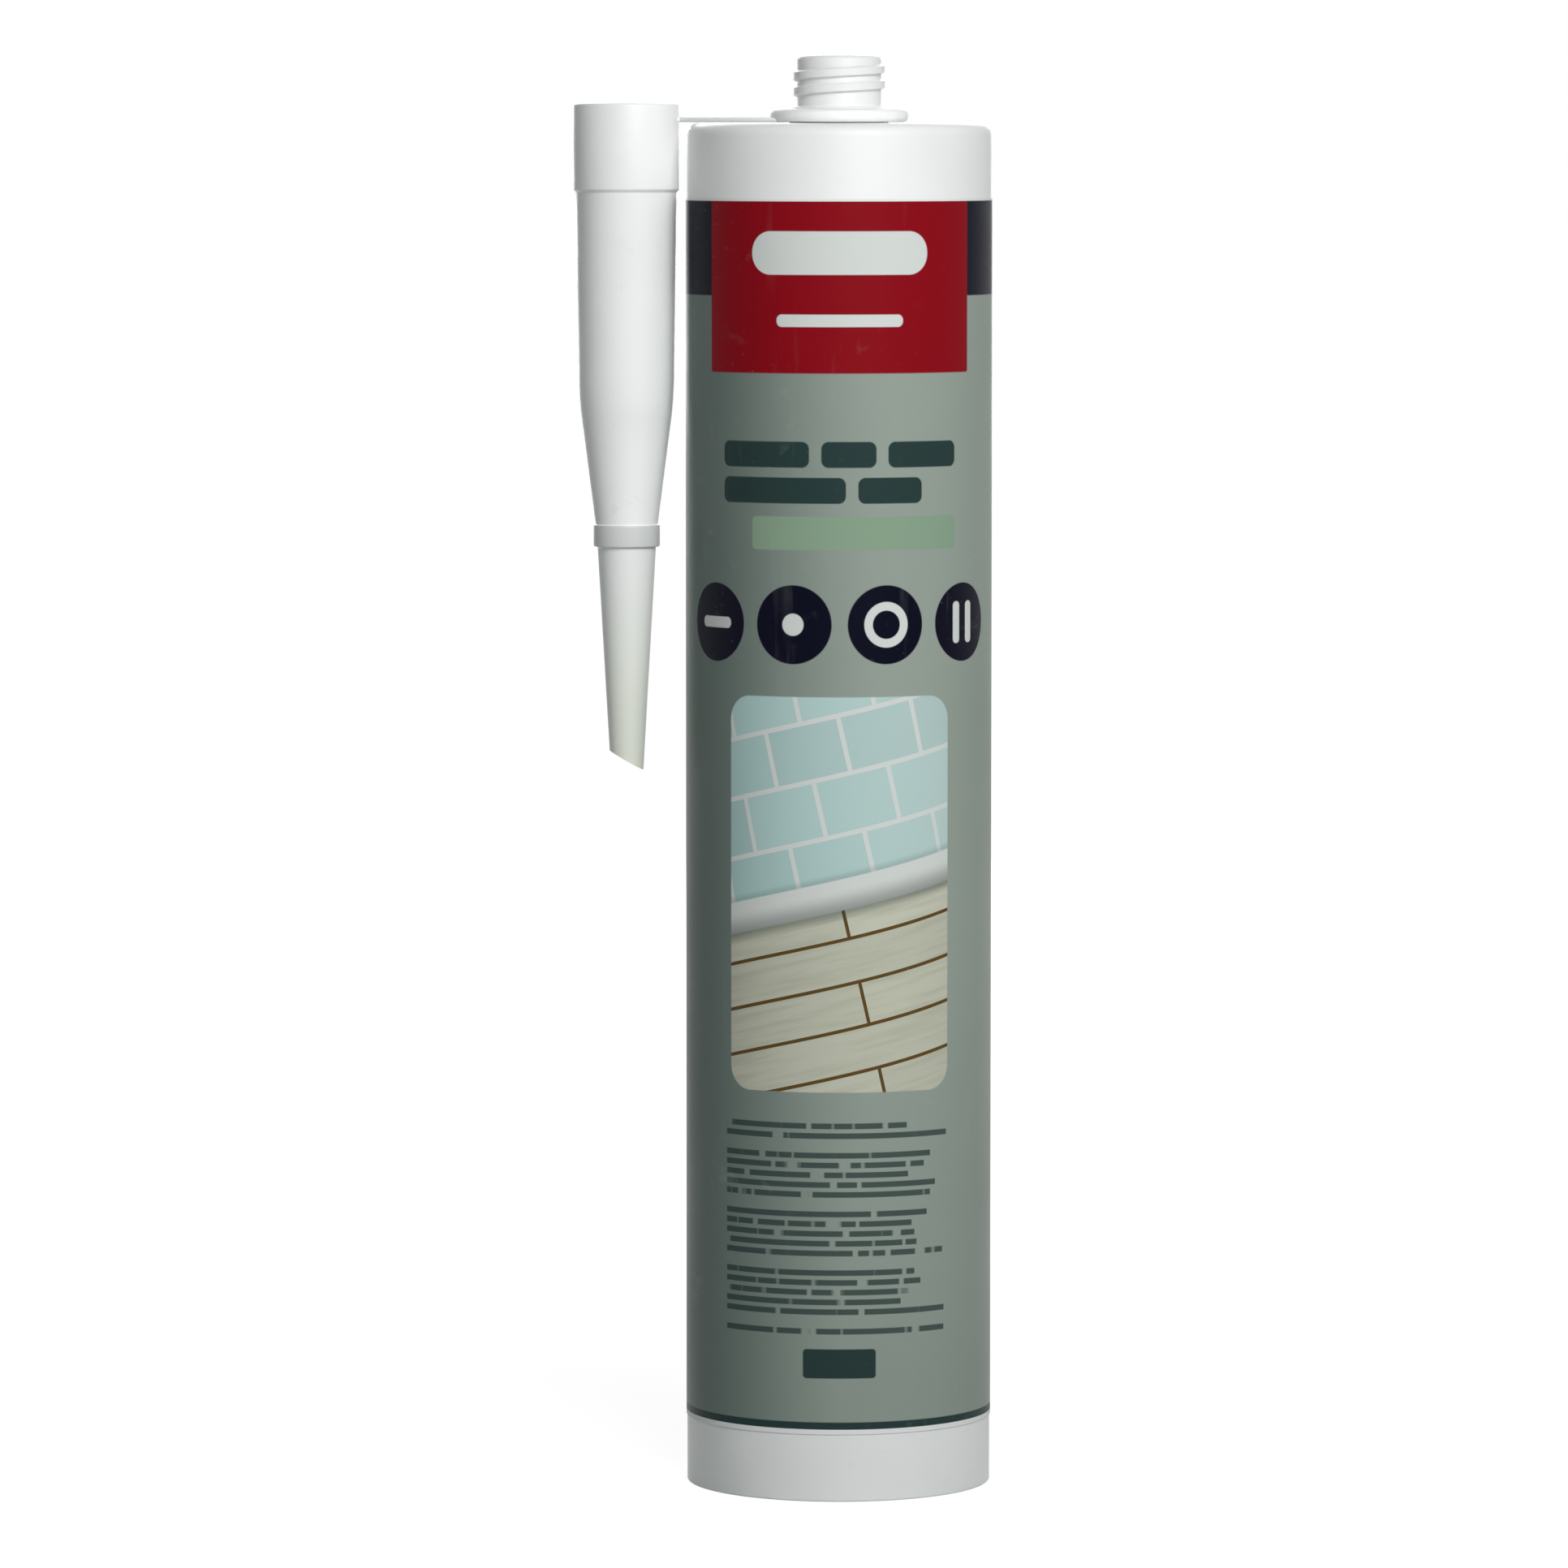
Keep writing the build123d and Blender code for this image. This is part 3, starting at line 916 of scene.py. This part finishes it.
class CARTRIDGE_OT_add_piston(Operator):
    """Add the piston with its lips, cup, ribs and hub"""

    bl_idname = "cartridge.add_piston"
    bl_label = "Piston"

    RIB_COUNT = 8
    EDGE = 0.0002

    def execute(self, context):
        size = context.scene.cartridge_piston
        rear = piston_box[0].z
        front = piston_box[1].z
        lip = piston_box[1].x
        cup = mount_size("piston_cup", "r_mm")
        well = cup - size.cup_step
        plate_under = front - size.plate
        rib_bottom = plate_under - size.rib_height
        lip_height = size.lip_land + 2 * size.lip_rise
        edge = self.EDGE
        points = [(0.0, front, 0.0), (size.skirt - size.front_edge, front, edge)]
        for top in (front - size.lip_margin, rear + size.lip_margin + lip_height):
            points += [
                (size.skirt, top, edge),
                (lip, top - size.lip_rise, edge),
                (lip, top - size.lip_rise - size.lip_land, edge),
                (size.skirt, top - lip_height, edge),
            ]
        points += [
            (size.skirt, rear, edge),
            (cup, rear, edge),
            (cup, rib_bottom, edge),
            (well, rib_bottom, edge),
            (well, plate_under, edge),
            (0.0, plate_under, 0.0),
        ]
        parts = [spun(points, ROUND_STEPS)]
        hub = [
            (0.0, rib_bottom, 0.0),
            (size.hub, rib_bottom, edge),
            (size.hub, plate_under + edge, 0.0),
            (0.0, plate_under + edge, 0.0),
        ]
        parts.append(spun(hub, SMALL_ROUND_STEPS))
        half = size.rib / 2
        inside = size.hub - edge
        outside = well + edge
        corners = [
            (inside, -half, rib_bottom),
            (outside, -half, rib_bottom),
            (outside, half, rib_bottom),
            (inside, half, rib_bottom),
        ]
        for index in range(self.RIB_COUNT):
            rib = plate(corners, size.rib_height + edge, edge)
            turn = Matrix.Rotation(tau * index / self.RIB_COUNT, 3, "Z")
            bmesh.ops.rotate(rib, verts=rib.verts, cent=ORIGIN, matrix=turn)
            parts.append(rib)
        material = plastic_material(
            "Piston polyethylene", size.plastic, roughness=0.48, subsurface=0.1
        )
        add_piece("piston_body", joined(parts), material, "piston", "piston")
        return {"FINISHED"}


class CARTRIDGE_OT_add_sealant(Operator):
    """Add the sealant in the tube and the part of it that stands in the neck"""

    bl_idname = "cartridge.add_sealant"
    bl_label = "Sealant"

    EDGE = 0.001
    LEAST_SHARE = 0.0032
    PASTE_SHADE = 0.03

    def execute(self, context):
        size = context.scene.cartridge_tube
        bottom = sealant_box[0].z
        radius = sealant_box[1].x
        slide = next(joint for joint in frame["joints"] if joint["name"] == "piston_slide")
        top = slide["deforming_nodes"][0]["fixed_end_z_m"]
        paste_colour = shaded(size.plastic, self.PASTE_SHADE)
        material = plastic_material("Sealant paste", paste_colour, roughness=0.55, subsurface=0.2)
        body = self.rod(radius, bottom, top, self.EDGE, ROUND_STEPS)
        paste = add_piece("sealant_fill", body, material, "cartridge", "sealant")
        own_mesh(paste)
        neck_r = size.neck_bore - (size.bore - radius)
        neck_top = sealant_box[1].z
        plug = self.rod(neck_r, top, neck_top, size.rim_edge, SMALL_ROUND_STEPS)
        add_piece("sealant_in_neck", plug, material, "cartridge", "sealant")
        return {"FINISHED"}

    def rod(self, radius, bottom, top, edge, steps):
        """A round rod of paste with its upper edge rounded."""
        points = ((0.0, bottom, 0.0), (radius, bottom, 0.0), (radius, top, edge), (0.0, top, 0.0))
        return spun(points, steps)


class CARTRIDGE_OT_add_nozzle(Operator):
    """Add the nozzle with its collar, skirt, cone, stop ring, slanted tip, strap and eyelet"""

    bl_idname = "cartridge.add_nozzle"
    bl_label = "Nozzle"

    EDGE = 0.0002

    def execute(self, context):
        size = context.scene.cartridge_nozzle
        tube = context.scene.cartridge_tube
        bottom = tube.shoulder_height + size.eyelet_lift
        parts = [
            self.shell(size),
            self.socket_thread(size, tube.thread_pitch),
            self.eyelet(size, bottom),
            self.strap(size, bottom),
        ]
        ring_top = nozzle_box[1].z - size.cone_length
        tints = (
            (size.thin_plastic, height_mask, ring_top, nozzle_box[0].z),
            # Painted shade on the stop ring
            (size.ring_painted_shade, band_mask, ring_top - size.ring_height, ring_top),
            (size.strap_plastic, reach_mask, nozzle_box[1].x, -self.axis() - size.collar),
        )
        material = plastic_material(
            "Natural polyethylene", size.plastic, roughness=0.38, subsurface=0.05, tints=tints
        )
        add_piece("nozzle_shell", joined(parts), material, "nozzle", "nozzle")
        return {"FINISHED"}

    def axis(self):
        """Sideways place of the nozzle's axis."""
        return mounts["nozzle_socket"]["pos_m"][0]

    def shell(self, size):
        """The hollow turned body, cut off on the slant at its tip."""
        top = nozzle_box[1].z
        bottom = nozzle_box[0].z
        socket = mount_size("nozzle_socket", "r_mm")
        socket_end = top - mount_size("nozzle_socket", "length_mm")
        collar_end = top - size.collar_height
        slope_top = collar_end + size.collar - size.skirt_top
        skirt_end = top - size.skirt_length
        cone_end = top - size.cone_length
        tip_start = cone_end - size.ring_height
        ring_edge = (size.ring - size.cone_end) * RING_EDGE
        edge = self.EDGE
        points = (
            (size.collar, top, size.collar_edge),
            (size.collar, slope_top, edge),
            (size.skirt_top, collar_end, edge),
            (size.skirt_end, skirt_end, size.skirt_blend),
            (size.cone_end, cone_end, edge),
            (size.ring, cone_end, ring_edge),
            (size.ring, tip_start, ring_edge),
            (size.tip_top, tip_start, edge),
            (size.tip_end, bottom, 0.0),
            (size.tip_end - size.tip_wall, bottom, 0.0),
            (size.tip_top - size.tip_wall, tip_start, 0.0),
            (size.cone_end - size.skirt_wall, cone_end, 0.0),
            (size.skirt_end - size.skirt_wall, skirt_end, size.skirt_blend),
            (size.skirt_end - size.skirt_wall, socket_end, edge),
            (socket, socket_end, edge),
            (socket, top, size.collar_edge),
        )
        bm = spun(points, SMALL_ROUND_STEPS, self.axis(), closed=True)
        slant = Matrix.Rotation(size.tip_cut, 3, "Y") @ Vector((0.0, 0.0, 1.0))
        bmesh.ops.bisect_plane(
            bm,
            geom=bm.verts[:] + bm.edges[:] + bm.faces[:],
            plane_co=(self.axis() + size.tip_end, 0.0, bottom),
            plane_no=slant,
            clear_inner=True,
        )
        bmesh.ops.bridge_loops(bm, edges=open_edges(bm))
        return settled(bm)

    def socket_thread(self, size, pitch):
        """The ridge inside the collar that takes the neck's thread."""
        socket = mount_size("nozzle_socket", "r_mm")
        deep = mount_size("nozzle_socket", "length_mm")
        width = 2 * pitch * SOCKET_RIDGE[0]
        first = nozzle_box[1].z - deep + width
        last = nozzle_box[1].z - width
        sunk = socket + size.thread_depth / 3
        crest = socket - size.thread_depth
        return thread(sunk, crest, first, last, pitch, SOCKET_RIDGE, self.axis())

    def eyelet(self, size, bottom):
        """The ring round the foot of the neck."""
        top = bottom + size.eyelet_thickness
        outer = nozzle_box[1].x
        rounding = size.eyelet_thickness * SOFT_EDGE
        points = (
            (size.eyelet_hole, bottom, self.EDGE),
            (outer, bottom, rounding),
            (outer, top, rounding),
            (size.eyelet_hole, top, self.EDGE),
        )
        return spun(points, SMALL_ROUND_STEPS, closed=True)

    def strap(self, size, bottom):
        """The flat strap from the eyelet to the collar, narrow where it tears off."""
        near = -(size.eyelet_hole + nozzle_box[1].x) / 2
        far = self.axis() + (size.collar + mount_size("nozzle_socket", "r_mm")) / 2
        wide = size.strap_wide / 2
        narrow = size.strap_narrow / 2
        outline = ((near, -wide), (near, wide), (far, narrow), (far, -narrow))
        corners = [(*place, bottom) for place in outline]
        return plate(corners, size.strap, size.strap * SOFT_EDGE)


class CARTRIDGE_OT_add_stage(Operator):
    """Add the floor, the lamps, the world's light and the camera"""

    bl_idname = "cartridge.add_stage"
    bl_label = "Stage"

    WHITE = (1.0, 1.0, 1.0, 1.0)
    FLOOR_HALF = 12.0
    SHADOW_REACH = 0.12
    SHADOW_TONE = (0.24, 0.24, 0.24, 1.0)
    SHADOW_LEVEL = 0.87
    FILL = {"Color": (0.88, 1.0, 0.96, 1.0), "Strength": 0.045}
    KEY = {"place": (0.22, -0.66, 0.56), "aim": (0.0, 0.0, 0.14), "size": 0.42, "power": 5.8}
    BACK = {"place": (-0.1, 1.0, 0.5), "aim": (0.0, 0.0, 0.12), "size": 0.8, "power": 10.0}

    def execute(self, context):
        size = context.scene.cartridge_stage
        context.scene.view_settings.view_transform = "Standard"
        self.floor(size)
        for name, lamp in (("Key", self.KEY), ("Back", self.BACK)):
            self.lamp(name, lamp)
        self.world()
        self.camera(size)
        return {"FINISHED"}

    def floor(self, size):
        """A pale floor that shows white to the camera and keeps a faint shadow."""
        bm = bmesh.new()
        bmesh.ops.create_grid(bm, x_segments=1, y_segments=1, size=self.FLOOR_HALF)
        mesh = bpy.data.meshes.new("floor")
        bm.to_mesh(mesh)
        bm.free()
        material, tree, shader, place = new_material("Floor")
        tree.nodes.remove(shader)
        pale = add_node(tree, "ShaderNodeBsdfDiffuse", {"Color": (*size.floor, 1.0)}).outputs[0]
        thin = add_node(tree, "ShaderNodeBsdfDiffuse", {"Color": self.SHADOW_TONE}).outputs[0]
        away = vector_maths(tree, "LENGTH", place)
        near = self.SHADOW_REACH
        level = ramped(tree, away, near, near * 3, self.SHADOW_LEVEL, 1.0, smooth=True)
        shown = {"Color": self.WHITE, "Strength": level}
        glow = add_node(tree, "ShaderNodeEmission", shown).outputs[0]
        seen = add_node(tree, "ShaderNodeAddShader", {0: thin, 1: glow}).outputs[0]
        surface = tree.nodes["Material Output"].inputs["Surface"]
        tree.links.new(seen_by_eye(tree, pale, seen), surface)
        mesh.materials.append(material)
        floor = bpy.data.objects.new("floor", mesh)
        show(floor)

    def lamp(self, name, values):
        """A square area lamp aimed at a point."""
        light = bpy.data.lights.new(name, "AREA")
        light.size = values["size"]
        light.energy = values["power"]
        lamp = bpy.data.objects.new(name, light)
        lamp.location = values["place"]
        away = Vector(values["aim"]) - lamp.location
        lamp.rotation_euler = away.to_track_quat("-Z", "Y").to_euler()
        show(lamp)

    def world(self):
        """Weak light from all round, behind a background that shows white."""
        world = bpy.data.worlds.new("Studio")
        world.use_nodes = True
        tree = world.node_tree
        soft = tree.nodes["Background"]
        set_plain(soft, self.FILL)
        shown = {"Color": self.WHITE, "Strength": 1.0}
        white = add_node(tree, "ShaderNodeBackground", shown).outputs[0]
        surface = tree.nodes["World Output"].inputs["Surface"]
        tree.links.new(seen_by_eye(tree, soft.outputs[0], white), surface)
        bpy.context.scene.world = world

    def camera(self, size):
        """The photograph's view: level with the shoulder and tilted a little down."""
        drop = size.camera_height - size.aim_height
        reach = hypot(size.distance, drop)
        data = bpy.data.cameras.new("Camera")
        data.sensor_width = 36.0
        data.lens = data.sensor_width * reach / size.view_width
        camera = bpy.data.objects.new("Camera", data)
        camera.location = (size.aim_side, -size.distance, size.camera_height)
        camera.rotation_euler = (pi / 2 - atan2(drop, size.distance), 0.0, 0.0)
        show(camera)
        bpy.context.scene.camera = camera


OPERATORS = (
    CARTRIDGE_OT_add_tube,
    CARTRIDGE_OT_add_label,
    CARTRIDGE_OT_add_piston,
    CARTRIDGE_OT_add_sealant,
    CARTRIDGE_OT_add_nozzle,
    CARTRIDGE_OT_add_stage,
)


class CARTRIDGE_PT_pieces(Panel):
    """Lists the pieces of the cartridge"""

    bl_idname = "CARTRIDGE_PT_pieces"
    bl_label = "Sealant Cartridge"
    bl_space_type = "VIEW_3D"
    bl_region_type = "UI"
    bl_category = "Cartridge"

    def draw(self, context):
        for operator in OPERATORS:
            self.layout.operator(operator.bl_idname)


SETTINGS = {
    "cartridge_tube": TubeSettings,
    "cartridge_label": LabelSettings,
    "cartridge_piston": PistonSettings,
    "cartridge_nozzle": NozzleSettings,
    "cartridge_stage": StageSettings,
}
CLASSES = (*SETTINGS.values(), *OPERATORS, CARTRIDGE_PT_pieces)


def register():
    """Registers the classes and puts the settings on the scene."""
    for cls in CLASSES:
        bpy.utils.register_class(cls)
    for name, cls in SETTINGS.items():
        setattr(Scene, name, PointerProperty(type=cls))


def unregister():
    """Takes the settings and the classes away."""
    for name in SETTINGS:
        delattr(Scene, name)
    for cls in reversed(CLASSES):
        bpy.utils.unregister_class(cls)


def main():
    """Makes all the pieces and the stage."""
    register()
    bpy.ops.cartridge.add_tube()
    bpy.ops.cartridge.add_label()
    bpy.ops.cartridge.add_piston()
    bpy.ops.cartridge.add_sealant()
    bpy.ops.cartridge.add_nozzle()
    bpy.ops.cartridge.add_stage()


if __name__ == "__main__":
    main()
